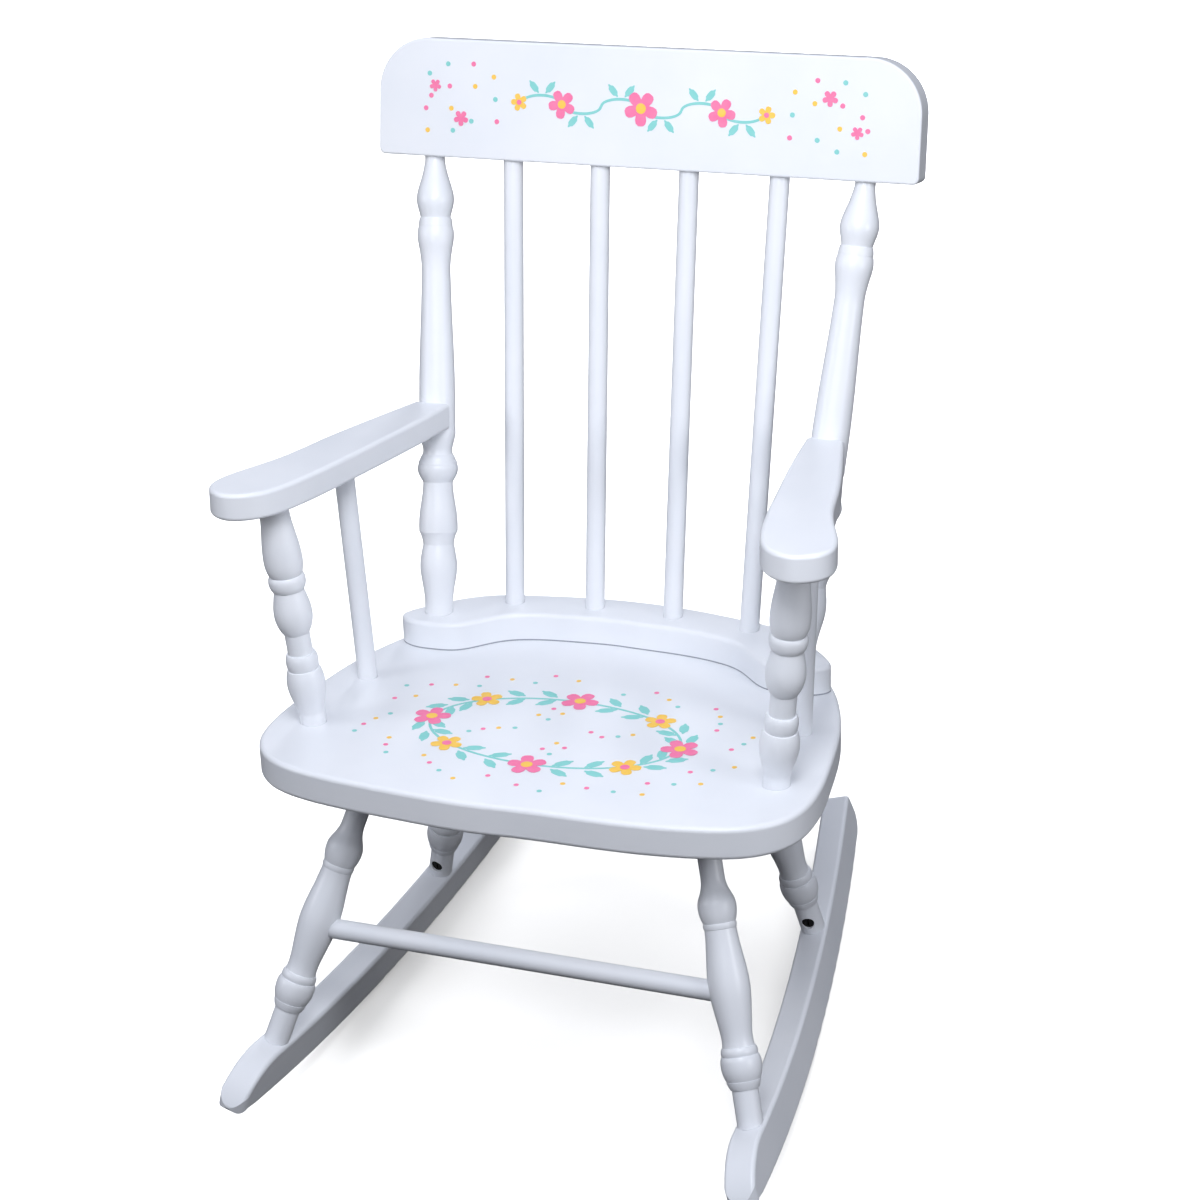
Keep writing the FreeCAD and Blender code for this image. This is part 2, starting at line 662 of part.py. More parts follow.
def make_arm_posts():
    for side, (base, tip) in arm_post_lines.items():
        label = f"arm_post_{side}"
        body = turned_body(label, ARM_POST_SHARES, (tip - base).Length, "arm_post_diameter", tenon, tenon)
        body.Placement = along(base, tip)
        parts.append(body)


# Rockers: two parallel arcs; at the nose the upper one bends down to meet the lower

def spoke_point(radius, angle):
    """A point of the rocker's own plane, on a spoke from the arc's centre; angles grow to the back."""
    return Vector(radius * math.sin(angle), -radius * math.cos(angle), 0)


def bolt_placement(end, side):
    """The bolt's line up the leg, from where it leaves the rocker's lower edge."""
    foot, head = leg_lines[end, side]
    line = along(foot, head)
    way = (head - foot).normalize()
    flank = flanks[side]
    spoke = foot - flank.centre
    lean = spoke.dot(way)
    outer = arc_radius + size("rocker_height")
    below = lean + math.sqrt(lean ** 2 - spoke.Length ** 2 + outer ** 2)
    return slid(line, -below), below


def round_corners(body, feature, corners):
    """Rounds the pad's upright edges: each corner is a point of its sketch and the size of its radius."""
    for corner, radius in corners:
        spots = [edge.CenterOfMass.sub(corner).Length for edge in feature.Shape.Edges]
        nearest = spots.index(min(spots)) + 1
        fillet = body.newObject("PartDesign::Fillet", body.Label + "_corner")
        fillet.Base = (feature, [f"Edge{nearest}"])
        fillet.setExpression("Radius", radius)
        doc.recompute()
        feature = fillet
    return feature


def nose_bend(start, tip):
    """The middle point of the arc that leaves the upper edge smoothly at the start and ends at the tip."""
    inward = (start * -1).normalize()
    drop = tip - start
    radius = -drop.dot(drop) / (2 * drop.dot(inward))
    hub = start - inward * radius
    return hub + ((start + tip) * (1 / 2) - hub).normalize() * radius


def taper_nose(body, tip):
    """Rounds the nose as seen from above: a pocket that takes off its two corners."""
    sketch = new_sketch(body, "XZ_Plane")
    half = size("rocker_thickness") / 2
    radius = size("rocker_nose_corner_radius")
    over = size("cut_overrun")
    for sign in (-1, 1):
        side, beyond, hub = sign * half, sign * (half + over), sign * (half - radius)
        on_side, on_end = Vector(tip + radius, side, 0), Vector(tip, hub, 0)
        diagonal = Vector(tip + radius * (1 - math.sqrt(1 / 2)), hub + sign * radius * math.sqrt(1 / 2), 0)
        sketch.addGeometry(Part.Arc(on_end, diagonal, on_side))
        corners = (on_side, Vector(tip + radius, beyond, 0), Vector(tip - over, beyond, 0),
                   Vector(tip - over, hub, 0), on_end)
        for near, far in zip(corners, corners[1:]):
            sketch.addGeometry(Part.LineSegment(near, far))
    pocket = body.newObject("PartDesign::Pocket", body.Label + "_nose")
    pocket.Profile = sketch
    pocket.Type = "ThroughAll"
    pocket.Midplane = True
    doc.recompute()


def make_rockers():
    outer = arc_radius + size("rocker_height")
    front = -math.asin(size("rocker_front_reach") / arc_radius)
    bend = front + size("rocker_nose_length") / arc_radius
    rear = math.asin(size("rocker_rear_reach") / arc_radius)
    middle = (front + rear) / 2
    nose_top, nose_low = spoke_point(arc_radius, bend), spoke_point(outer, front)
    tail_top, tail_low = spoke_point(arc_radius, rear), spoke_point(outer, rear)
    for side, sign in SIDES:
        body = new_body(f"rocker_{side}_blank")
        sketch = new_sketch(body, "XY_Plane")
        upper = sketch.addGeometry(Part.Arc(nose_top, spoke_point(arc_radius, middle), tail_top))
        lower = sketch.addGeometry(Part.Arc(nose_low, spoke_point(outer, middle), tail_low))
        sketch.addGeometry(Part.Arc(nose_top, nose_bend(nose_top, nose_low), nose_low))
        sketch.addGeometry(Part.LineSegment(tail_low, tail_top))
        bind(sketch, "upper_radius", Sketcher.Constraint("Radius", upper, arc_radius), "sizes.rocker_radius")
        bind(sketch, "lower_radius", Sketcher.Constraint("Radius", lower, outer),
             "sizes.rocker_radius + sizes.rocker_height")
        plate = pad(body, sketch, "sizes.rocker_thickness", centred=True)
        shaped = round_corners(body, plate, ((nose_low, "sizes.rocker_nose_low_radius"),
                                             (tail_top, "sizes.rocker_tail_top_radius"),
                                             (tail_low, "sizes.rocker_tail_low_radius")))
        tip = shaped.Shape.optimalBoundingBox(False, False).XMin
        round_rims(body, shaped, "sizes.rocker_edge_radius")
        taper_nose(body, tip)
        body.Placement = flanks[side].placement()
        tools = []
        for end in ("front", "rear"):
            start, below = bolt_placement(end, side)
            label = f"rocker_{end}_{side}"
            over = size("cut_overrun")
            outside = slid(start, -over)
            tools.append(cylinder(label + "_hole", BOLT_HOLE_RADIUS, below + 2 * over, outside))
            tools.append(cylinder(label + "_recess", "sizes.bolt_head_diameter / 2 + sizes.fit_clearance",
                                  size("bolt_head_recess") + over, outside))
        parts.append(cut(f"rocker_{side}", body, tools))


# Legs: turned, coped to the rocker's top, drilled for bolt, barrel nut and stretcher

def nut_placement(end, side):
    """The barrel nut's line: square to the leg, from the face where its hole opens."""
    foot, head = leg_lines[end, side]
    way = (head - foot).normalize()
    opens = flanks[side].back if end == "front" else flanks[side].back * -1
    opens = (opens - way * opens.dot(way)).normalize()
    centre = foot + way * size("nut_height")
    return Placement(centre, Rotation(Vector(0, 0, 1), opens))


def stretcher_line():
    ends = []
    for side, sign in SIDES:
        foot, head = leg_lines["front", side]
        ends.append(foot + (head - foot) * STRETCHER_SHARE)
    return ends


def make_legs():
    left_end, right_end = stretcher_line()
    across = along(left_end, right_end)
    for (end, side), (foot, head) in leg_lines.items():
        label = f"leg_{end}_{side}"
        foot_radius = size("leg_diameter") / 2 * LEG_SHARES[0][0][1]
        front_foot, front_head = leg_lines["front", side]
        pattern = (front_head - front_foot).Length
        length = (head - foot).Length
        body = turned_body(label + "_turned", LEG_SHARES, length, "leg_diameter", foot_radius, tenon, pattern)
        body.Placement = along(foot, head)
        broad = size("leg_diameter")
        wheel = cylinder(label + "_wheel", "sizes.rocker_radius - sizes.fit_clearance", 2 * broad,
                         slid(flanks[side].placement(), -broad))
        coped = doc.addObject("Part::Common", label + "_coped")
        coped.Base = body
        coped.Tool = wheel
        start, below = bolt_placement(end, side)
        depth = below + size("nut_height") + size("bolt_tip") + size("socket_end_gap")
        tools = [cylinder(label + "_bolt", BOLT_HOLE_RADIUS, depth, start)]
        nut = nut_placement(end, side)
        back = size("nut_length") / 2 + size("socket_end_gap")
        tools.append(cylinder(label + "_nut", "sizes.nut_diameter / 2 + sizes.fit_clearance",
                              back + size("leg_diameter"), slid(nut, -back)))
        if end == "front":
            span = (right_end - left_end).Length
            deep = tenon + size("socket_end_gap")
            mouth = size("leg_diameter") / 2
            inside = mouth - deep if side == "left" else span - mouth
            tools.append(cylinder(label + "_stretcher", f"{DOWEL_RADIUS} + sizes.fit_clearance", deep,
                                  slid(across, inside)))
        parts.append(cut(label, coped, tools))


def make_stretcher():
    left_end, right_end = stretcher_line()
    inset = (right_end - left_end).normalize() * (size("leg_diameter") / 2)
    dowel("front_stretcher", left_end + inset, right_end - inset)


# Fasteners, each kind one group of separate pieces

def make_fasteners():
    bolts = []
    nuts = []
    for end, side in leg_lines:
        start, below = bolt_placement(end, side)
        seated = slid(start, size("bolt_head_recess") - size("bolt_head_height"))
        label = f"bolt_{end}_{side}"
        head = cylinder(label + "_head", "sizes.bolt_head_diameter / 2", size("bolt_head_height"), seated)
        reach = below - size("bolt_head_recess") + size("bolt_head_height")
        reach += size("nut_height") + size("bolt_tip")
        shank = cylinder(label + "_shank", "sizes.bolt_diameter / 2", reach, seated)
        bolt = doc.addObject("Part::Fuse", label)
        bolt.Base = head
        bolt.Tool = shank
        bolts.append(bolt)
        half = size("nut_length") / 2
        blank = cylinder(f"nut_{end}_{side}_blank", "sizes.nut_diameter / 2", size("nut_length"),
                         slid(nut_placement(end, side), -half))
        thread = cylinder(f"nut_{end}_{side}_thread", BOLT_HOLE_RADIUS, reach + size("cut_overrun"), seated)
        nut = doc.addObject("Part::Cut", f"nut_{end}_{side}")
        nut.Base = blank
        nut.Tool = thread
        nuts.append(nut)
    fastener_group("rocker_bolts", bolts)
    fastener_group("barrel_nuts", nuts)
    reach = size("seat_thickness") + size("screw_bite")
    fastener_group("bow_screws", [screw(f"bow_screw_{number}", Placement(place, Rotation()), reach)
                                  for number, place in enumerate(bow_screw_places, start=1)])
    reach = size("post_diameter") + size("arm_screw_bite")
    fastener_group("arm_screws", [screw(f"arm_screw_{side}", arm_screw_placement(side), reach)
                                  for side, sign in SIDES])


# Rest: the tilt at which the chair balances on the rounded inner edges of its rockers

def balance_point():
    weight = 0
    moment = Vector()
    for part in parts:
        steel = part.Label.endswith(("bolts", "nuts", "screws"))
        for solid in part.Shape.Solids:
            mass = solid.Volume * (STEEL_DENSITY if steel else WOOD_DENSITY)
            weight += mass
            moment += solid.CenterOfMass * mass
    return moment * (1 / weight)


def resting_placement():
    """Tilt and drop that set the chair down: its balance point comes over the line where it touches."""
    flank = flanks["right"]
    round_r = size("rocker_edge_radius")
    inset = size("rocker_thickness") / 2 - round_r
    rolling = arc_radius + size("rocker_height") - round_r
    hub = flank.centre - flank.out * inset
    balance = balance_point()

    def up(angle):
        return Vector(0, -math.sin(angle), math.cos(angle))

    def pull(angle):
        """Slope of the balance point's height over the floor as the chair tips back."""
        turned = Vector(0, -math.cos(angle), -math.sin(angle))
        side = flank.out.dot(up(angle))
        return (balance - hub).dot(turned) - rolling * side * flank.out.dot(turned) / math.sqrt(1 - side ** 2)

    low, high = -math.pi / 6, math.pi / 6
    while high - low > math.radians(0.001):
        middle = (low + high) / 2
        if pull(middle) < 0:
            low = middle
        else:
            high = middle
    angle = (low + high) / 2
    side = flank.out.dot(up(angle))
    lowest = hub.dot(up(angle)) - rolling * math.sqrt(1 - side ** 2) - round_r
    print(f"rest tilt {math.degrees(angle):.2f} degrees, balance point {balance}")
    return Placement(Vector(0, 0, -lowest), Rotation(Vector(1, 0, 0), -math.degrees(angle)))


def set_down():
    """Turns the whole chair to its rest and centres its footprint on the origin."""
    rest = resting_placement()
    for part in parts:
        part.Placement = rest.multiply(part.Placement)
    doc.recompute()
    boxes = [part.Shape.optimalBoundingBox(False, False) for part in parts]
    middle = (min(box.YMin for box in boxes) + max(box.YMax for box in boxes)) / 2
    shift = Placement(Vector(0, -middle, 0), Rotation())
    for part in parts:
        part.Placement = shift.multiply(part.Placement)
    doc.recompute()


make_seat()
make_bow()
make_crest()
make_posts()
make_spindles()
make_arms()
make_arm_posts()
make_rockers()
make_legs()
make_stretcher()
make_fasteners()
doc.recompute()
set_down()

for item in doc.Objects:
    check(item)
for part in parts:
    if part.Shape.isNull() or not part.Shape.isValid():
        raise RuntimeError(f"{part.Label} has no valid shape")
os.makedirs("parts", exist_ok=True)
for part in parts:
    part.Shape.exportStep(f"parts/{part.Label}.step")
    print(part.Label, len(part.Shape.Solids), round(part.Shape.Volume, 1))
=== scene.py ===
"""Looks of a child's spindle-back rocking chair: satin white enamel, printed flowers and plated fasteners."""
import json
import math

import bpy
import numpy as np
from mathutils import Matrix, Quaternion, Vector


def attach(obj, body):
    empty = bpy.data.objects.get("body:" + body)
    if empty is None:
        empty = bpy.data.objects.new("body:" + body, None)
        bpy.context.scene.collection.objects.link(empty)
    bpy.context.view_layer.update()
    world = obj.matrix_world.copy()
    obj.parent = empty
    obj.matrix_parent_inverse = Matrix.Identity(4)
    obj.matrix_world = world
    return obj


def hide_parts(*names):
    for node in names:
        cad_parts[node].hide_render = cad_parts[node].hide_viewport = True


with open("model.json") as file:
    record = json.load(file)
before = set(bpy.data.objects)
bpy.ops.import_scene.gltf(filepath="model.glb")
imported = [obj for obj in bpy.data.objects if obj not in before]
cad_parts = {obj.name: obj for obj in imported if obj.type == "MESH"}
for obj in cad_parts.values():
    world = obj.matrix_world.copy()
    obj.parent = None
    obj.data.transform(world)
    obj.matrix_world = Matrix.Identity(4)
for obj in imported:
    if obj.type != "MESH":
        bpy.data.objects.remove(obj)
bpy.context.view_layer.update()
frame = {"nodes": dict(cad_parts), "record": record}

bl_info = {
    "name": "Child's rocking chair",
    "version": (1, 0, 0),
    "blender": (4, 5, 0),
    "location": "View3D > Sidebar > Rocking Chair",
    "description": "Paints the packed rocking chair, details its fasteners, prints its seat and crest and lights it",
    "category": "Object",
}

BODY = "root"
MM = 0.001
TURNINGS = ("back_post_left", "back_post_right", "arm_post_left", "arm_post_right", "leg_front_left",
            "leg_front_right", "leg_rear_left", "leg_rear_right")
BOARDS = ("seat_board", "back_bow", "crest_rail", "armrest_left", "armrest_right", "rocker_left", "rocker_right")
DOWELS = ("back_spindle_1", "back_spindle_2", "back_spindle_3", "back_spindle_4", "arm_spindle_left",
          "arm_spindle_right", "front_stretcher")


def linear(code):
    """An sRGB hex colour as linear red, green and blue."""
    parts = [int(code[place:place + 2], 16) / 255 for place in (1, 3, 5)]
    return tuple(part / 12.92 if part <= 0.04045 else ((part + 0.055) / 1.055) ** 2.4 for part in parts)


def colour_property(name, description, code):
    """A colour that a user can change, with its default given as an sRGB hex value."""
    return bpy.props.FloatVectorProperty(name=name, description=description, subtype="COLOR", size=3,
                                         min=0, max=1, default=linear(code))


def length_property(name, description, millimetres):
    """A length that a user can change, in metres inside and given here in millimetres."""
    return bpy.props.FloatProperty(name=name, description=description, subtype="DISTANCE", unit="LENGTH",
                                   min=0, default=millimetres * MM, precision=5)


def share_property(name, description, share):
    """A share between 0 and 1 that a user can change."""
    return bpy.props.FloatProperty(name=name, description=description, subtype="FACTOR", min=0, max=1,
                                   default=share)


def angle_property(name, description, degrees):
    """An angle that a user can change, in radians inside and given here in degrees."""
    return bpy.props.FloatProperty(name=name, description=description, subtype="ANGLE", unit="ROTATION",
                                   default=math.radians(degrees))


def place_property(name, description, place):
    """A place in metres that a user can change."""
    return bpy.props.FloatVectorProperty(name=name, description=description, subtype="XYZ", unit="LENGTH", size=3,
                                         default=place)


def power_property(name, description, watts):
    """A lamp's power in watts that a user can change."""
    return bpy.props.FloatProperty(name=name, description=description, unit="POWER", min=0, default=watts)


class ChairPaint(bpy.types.PropertyGroup):
    enamel: colour_property("Enamel", "Cool white of the satin enamel", "#E9EBEF")
    enamel_low: colour_property("Thin enamel", "Where the coat is thinner and greyer", "#E5E8ED")
    # Painted shade: this grey stands in for the shadow in the narrow gap where the bow meets the seat
    seam: colour_property("Seam", "Grey of the crack where the bow meets the seat", "#8E929B")
    gloss: share_property("Roughness", "Middle roughness of the dried enamel", 0.35)
    zinc: colour_property("Zinc plate", "Blue-grey zinc on the bolts and screws", "#B4B8BE")
    oxide: colour_property("Black oxide", "Oiled black of the barrel nuts", "#2E2D2C")


class ChairPrint(bpy.types.PropertyGroup):
    pink: colour_property("Pink ink", "Blossoms and dots", "#F26A9E")
    teal: colour_property("Teal ink", "Stems, leaves and dots", "#79CBC6")
    yellow: colour_property("Yellow ink", "Small blossoms, blossom hearts and dots", "#F7C435")
    film: length_property("Film", "Thickness of the printed film", 0.12)
    lift: length_property("Lift", "Space between the enamel and the film", 0.02)
    dot: length_property("Dot", "Radius of a scattered dot", 1.6)
    stem: length_property("Stem", "Width of a printed stem", 1.8)


class ChairFasteners(bpy.types.PropertyGroup):
    hex_key: length_property("Hex key", "Across corners of the bolts' sockets", 4.6)
    socket_depth: length_property("Socket depth", "Depth of the driver recesses", 1.9)
    slot_width: length_property("Slot", "Width of the slots in nuts and screws", 1.2)
    slot_length: length_property("Slot length", "Length of the slots in nuts and screws", 5.4)


class ChairStage(bpy.types.PropertyGroup):
    floor: colour_property("Floor", "Plain pale floor", "#FBFAF7")
    floor_reach: length_property("Floor reach", "Radius of the floor", 80000)
    floor_light: bpy.props.FloatProperty(name="Floor light", description="Strength of the light on the floor alone",
                                         min=0, default=3.1)
    sky: colour_property("Surround", "Soft cool light from above", "#E5EAF7")
    ground: colour_property("Ground glow", "Dim warm light from below", "#3F3124")
    sky_strength: bpy.props.FloatProperty(name="Surround strength", description="Brightness of the sky overhead",
                                          min=0, default=0.87)
    low_share: share_property("Low share", "Brightness low down against overhead", 0.24)
    sky_line: share_property("Sky line", "Height over the floor's line where the surround is all sky", 0.35)
    lamp_colour: colour_property("Lamp colour", "Slightly cool white of the soft lamps", "#F8FAFF")
    lamp_size: length_property("Lamp size", "Width of each soft lamp", 420)
    lamp_aim: place_property("Lamp aim", "What the soft lamps point at", (0.0, 0.19, 0.53))
    key_watts: power_property("Key lamp", "Power of the lamp over the chair's front", 5.1)
    key_place: place_property("Key place", "Where the key lamp hangs", (0.25, -0.45, 1.15))
    front_watts: power_property("Front lamp", "Power of the narrow lamp on the crest rail", 0.32)
    front_place: place_property("Front place", "Where the narrow lamp hangs", (0.08, -0.85, 1.10))
    front_spread: angle_property("Front spread", "Angle over which the narrow lamp shines", 56)
    side_watts: power_property("Side lamp", "Power of the lamp on the chair's right", 4.8)
    side_place: place_property("Side place", "Where the side lamp hangs", (1.30, -0.35, 0.70))
    left_watts: power_property("Left lamp", "Power of the lamp on the chair's left", 3.4)
    left_place: place_property("Left place", "Where the left lamp hangs", (-1.10, -0.60, 0.80))
    rear_watts: power_property("Rear lamp", "Power of the lamp behind the chair's back", 20)
    rear_place: place_property("Rear place", "Where the rear lamp stands", (-0.30, 1.90, 0.30))
    eye: place_property("Camera", "Where the camera stands", (0.5627, -1.27955, 1.1884))
    aim: place_property("Aim", "The point in the middle of the picture", (0.0134, 0.01929, 0.2818))
    roll: angle_property("Roll", "Turn of the camera about its line of sight", -6.243)
    lens: bpy.props.FloatProperty(name="Lens", description="Focal length for a square picture 36 mm wide",
                                  subtype="DISTANCE_CAMERA", min=1, default=80.97)


# Materials

def add_node(tree, kind, settings=None, values=None, links=None):
    """Adds one node with its settings, its sockets' values and the links that come into it."""
    node = tree.nodes.new(kind)
    for name, value in (settings or {}).items():
        setattr(node, name, value)
    for socket, value in (values or {}).items():
        node.inputs[socket].default_value = value
    for socket, (source, output) in (links or {}).items():
        tree.links.new(source.outputs[output], node.inputs[socket])
    return node


def new_material(name):
    """An empty node material and its tree."""
    material = bpy.data.materials.new(name)
    material.use_nodes = True
    material.node_tree.nodes.clear()
    return material, material.node_tree


GRAIN_LENGTH, GRAIN_PITCH = 120 * MM, 4 * MM
PEEL_SIZE = 2 * MM
THIN_PLACE = 60 * MM
# Heights over the seat between which the painted shade along the bow's joint fades out
JOINT_SHADE_LOW, JOINT_SHADE_HIGH = 0.6 * MM, 1.1 * MM
CRYSTAL_SIZE = 1.5 * MM
INK_PATCH = 5 * MM


def long_axis(node):
    """The direction in which a CAD node is longest, which is how its grain runs."""
    points = np.array([vertex.co for vertex in frame["nodes"][node].data.vertices])
    spread = points - points.mean(axis=0)
    return Vector(np.linalg.svd(spread, full_matrices=False)[2][0])


def mount_plane(name):
    """A named mount's place and the way that it faces."""
    found = next(row for row in frame["record"]["mounts"] if row["name"] == name)
    return Vector(found["pos_m"]), Vector(found["axis"])


def painted_joint_shade(tree, place, colour):
    """Painted shade along the bow's glued joint: a grey line on the lowest millimetre over the seat, standing in for
    the shadow in the narrow gap there.
    """
    spot, up = mount_plane("seat_top")
    height = add_node(tree, "ShaderNodeVectorMath", {"operation": "DOT_PRODUCT"}, {1: up}, {0: (place, "Object")})
    joint_shade_mask = add_node(tree, "ShaderNodeMapRange", None,
                    {"From Min": up.dot(spot) + JOINT_SHADE_LOW, "From Max": up.dot(spot) + JOINT_SHADE_HIGH},
                    {"Value": (height, "Value")})
    return add_node(tree, "ShaderNodeMix", {"data_type": "RGBA"}, {6: (*bpy.context.scene.chair_paint.seam, 1)},
                    {0: (joint_shade_mask, 0), 7: (colour, 2)})


def satin_enamel(node):
    """Brushed satin enamel on sanded hardwood: a soft sheen, faint brush peel, and grain that just shows through.

    The grain's lines are 4 mm apart and 120 mm long, the peel is 2 mm and the thin places are 60 mm across. The
    roughness stays over 0.28, below which the denoiser draws edges round the smoother places.
    """
    paint = bpy.context.scene.chair_paint
    material, tree = new_material("satin_enamel_" + node)
    turn = Vector((1, 0, 0)).rotation_difference(long_axis(node)).to_euler()
    place = add_node(tree, "ShaderNodeTexCoord")
    along = add_node(tree, "ShaderNodeMapping", {"vector_type": "TEXTURE"},
                     {"Rotation": turn, "Scale": (GRAIN_LENGTH, GRAIN_PITCH, GRAIN_PITCH)},
                     {"Vector": (place, "Object")})
    grain = add_node(tree, "ShaderNodeTexNoise", None, {"Scale": 1, "Detail": 3, "Roughness": 0.6},
                     {"Vector": (along, 0)})
    peel = add_node(tree, "ShaderNodeTexNoise", None, {"Scale": 1 / PEEL_SIZE, "Detail": 2},
                    {"Vector": (place, "Object")})
    thin = add_node(tree, "ShaderNodeTexNoise", None, {"Scale": 1 / THIN_PLACE, "Detail": 4, "Roughness": 0.55},
                    {"Vector": (place, "Object")})
    cover = add_node(tree, "ShaderNodeMapRange", None, {"From Min": 0.35, "From Max": 0.7}, {"Value": (thin, 0)})
    colour = add_node(tree, "ShaderNodeMix", {"data_type": "RGBA"},
                      {6: (*paint.enamel_low, 1), 7: (*paint.enamel, 1)}, {0: (cover, 0)})
    # Painted shade: the bow's lowest millimetre over the seat is greyed as if the joint's gap were in shadow
    if node == "back_bow":
        colour = painted_joint_shade(tree, place, colour)
    sheen = add_node(tree, "ShaderNodeMapRange", None,
                     {"From Min": 0.3, "From Max": 0.7, "To Min": paint.gloss - 0.06,
                      "To Max": paint.gloss + 0.08}, {"Value": (thin, 0)})
    grain_bump = add_node(tree, "ShaderNodeBump", None, {"Strength": 0.30, "Distance": 0.10 * MM},
                          {"Height": (grain, 0)})
    peel_bump = add_node(tree, "ShaderNodeBump", None, {"Strength": 0.25, "Distance": 0.06 * MM},
                         {"Height": (peel, 0), "Normal": (grain_bump, 0)})
    shader = add_node(tree, "ShaderNodeBsdfPrincipled", None, {"IOR": 1.48},
                      {"Base Color": (colour, 2), "Roughness": (sheen, 0), "Normal": (peel_bump, 0)})
    add_node(tree, "ShaderNodeOutputMaterial", None, None, {"Surface": (shader, 0)})
    return material


def finished_steel(name, tone):
    """Tumbled steel, zinc-plated or blackened: a dull metal whose crystals of about 1.5 mm mottle its shine."""
    material, tree = new_material(name)
    place = add_node(tree, "ShaderNodeTexCoord")
    crystal = add_node(tree, "ShaderNodeTexNoise", None, {"Scale": 1 / CRYSTAL_SIZE, "Detail": 3},
                       {"Vector": (place, "Object")})
    shine = add_node(tree, "ShaderNodeMapRange", None, {"To Min": 0.28, "To Max": 0.48}, {"Value": (crystal, 0)})
    dull = [part * 0.8 for part in tone]
    colour = add_node(tree, "ShaderNodeMix", {"data_type": "RGBA"}, {6: (*dull, 1), 7: (*tone, 1)},
                      {0: (crystal, 0)})
    shader = add_node(tree, "ShaderNodeBsdfPrincipled", None, {"Metallic": 1},
                      {"Base Color": (colour, 2), "Roughness": (shine, 0)})
    add_node(tree, "ShaderNodeOutputMaterial", None, None, {"Surface": (shader, 0)})
    return material


def printed_ink(name, ink):
    """Screen ink on clear film: nearly flat colour, a little uneven over 5 mm, and duller than the enamel."""
    material, tree = new_material("printed_ink_" + name)
    place = add_node(tree, "ShaderNodeTexCoord")
    uneven = add_node(tree, "ShaderNodeTexNoise", None, {"Scale": 1 / INK_PATCH, "Detail": 3},
                      {"Vector": (place, "Object")})
    pale = [part + (1 - part) * 0.12 for part in ink]
    colour = add_node(tree, "ShaderNodeMix", {"data_type": "RGBA"}, {6: (*ink, 1), 7: (*pale, 1)},
                      {0: (uneven, 0)})
    shader = add_node(tree, "ShaderNodeBsdfPrincipled", None, {"Roughness": 0.45, "IOR": 1.5},
                      {"Base Color": (colour, 2)})
    add_node(tree, "ShaderNodeOutputMaterial", None, None, {"Surface": (shader, 0)})
    return material


# Modelling helpers

def pick(*objects):
    """Selects these objects alone and makes the first one active."""
    bpy.ops.object.select_all(action="DESELECT")
    for item in objects:
        item.select_set(True)
    bpy.context.view_layer.objects.active = objects[0]


def edit(item, test, *steps):
    """Selects the points of a mesh that pass a test, then runs edit-mode steps on them."""
    pick(item)
    bpy.ops.object.mode_set(mode="EDIT")
    bpy.ops.mesh.select_mode(type="VERT")
    bpy.ops.mesh.select_all(action="DESELECT")
    bpy.ops.object.mode_set(mode="OBJECT")
    for vertex in item.data.vertices:
        vertex.select = test(vertex)
    bpy.ops.object.mode_set(mode="EDIT")
    for operator, settings in steps:
        operator(**settings)
    bpy.ops.object.mode_set(mode="OBJECT")


def every_point(vertex):
    """A test that all points pass."""
    return True


def joined(name, items):
    """Makes one object of several and names it."""
    pick(*items)
    if len(items) > 1:
        bpy.ops.object.join()
    piece = bpy.context.object
    piece.name = name
    piece.data.name = name
    return piece


def dress(piece, material):
    """Gives a piece one material in place of any it has."""
    piece.data.materials.clear()
    piece.data.materials.append(material)


# Enamel on the wooden pieces

def paint_nodes(nodes):
    """Gives each wooden CAD node its own enamel, with the grain along the piece."""
    for node in nodes:
        frame["nodes"][node].material_slots[0].material = satin_enamel(node)


class CHAIR_OT_paint_turnings(bpy.types.Operator):
    """Paints the turned posts and legs"""
    bl_idname = "chair.paint_turnings"
    bl_label = "Paint turnings"

    def execute(self, context):
        paint_nodes(TURNINGS)
        return {"FINISHED"}


class CHAIR_OT_paint_boards(bpy.types.Operator):
    """Paints the seat, bow, crest, arms and rockers"""
    bl_idname = "chair.paint_boards"
    bl_label = "Paint boards"

    def execute(self, context):
        paint_nodes(BOARDS)
        return {"FINISHED"}


class CHAIR_OT_paint_dowels(bpy.types.Operator):
    """Paints the spindles and the stretcher"""
    bl_idname = "chair.paint_dowels"
    bl_label = "Paint dowels"

    def execute(self, context):
        paint_nodes(DOWELS)
        return {"FINISHED"}


# Fasteners: a copy of each, with the recess that its driver needs

MERGE_GAP = 0.002 * MM
FLAT_ANGLE = math.radians(1)
SMOOTH_ANGLE = math.radians(35)


def loose_copies(node):
    """Separate merged copies of a CAD node's solids, with each flat end one face."""
    source = frame["nodes"][node]
    copy = bpy.data.objects.new(node + "_copy", source.data.copy())
    bpy.context.scene.collection.objects.link(copy)
    edit(copy, every_point, (bpy.ops.mesh.remove_doubles, {"threshold": MERGE_GAP}),
         (bpy.ops.mesh.customdata_custom_splitnormals_clear, {}),
         (bpy.ops.mesh.dissolve_limited, {"angle_limit": FLAT_ANGLE}),
         (bpy.ops.mesh.separate, {"type": "LOOSE"}))
    return list(bpy.context.selected_objects)


def end_face(item, faces_way=None):
    """Centre and normal of a solid's largest flat end, or of the one that faces a way."""
    ends = sorted(item.data.polygons, key=lambda face: face.area)
    if faces_way:
        ends = [face for face in ends if face.normal.dot(faces_way) > 0.5]
    return ends[-1].center.copy(), ends[-1].normal.copy()


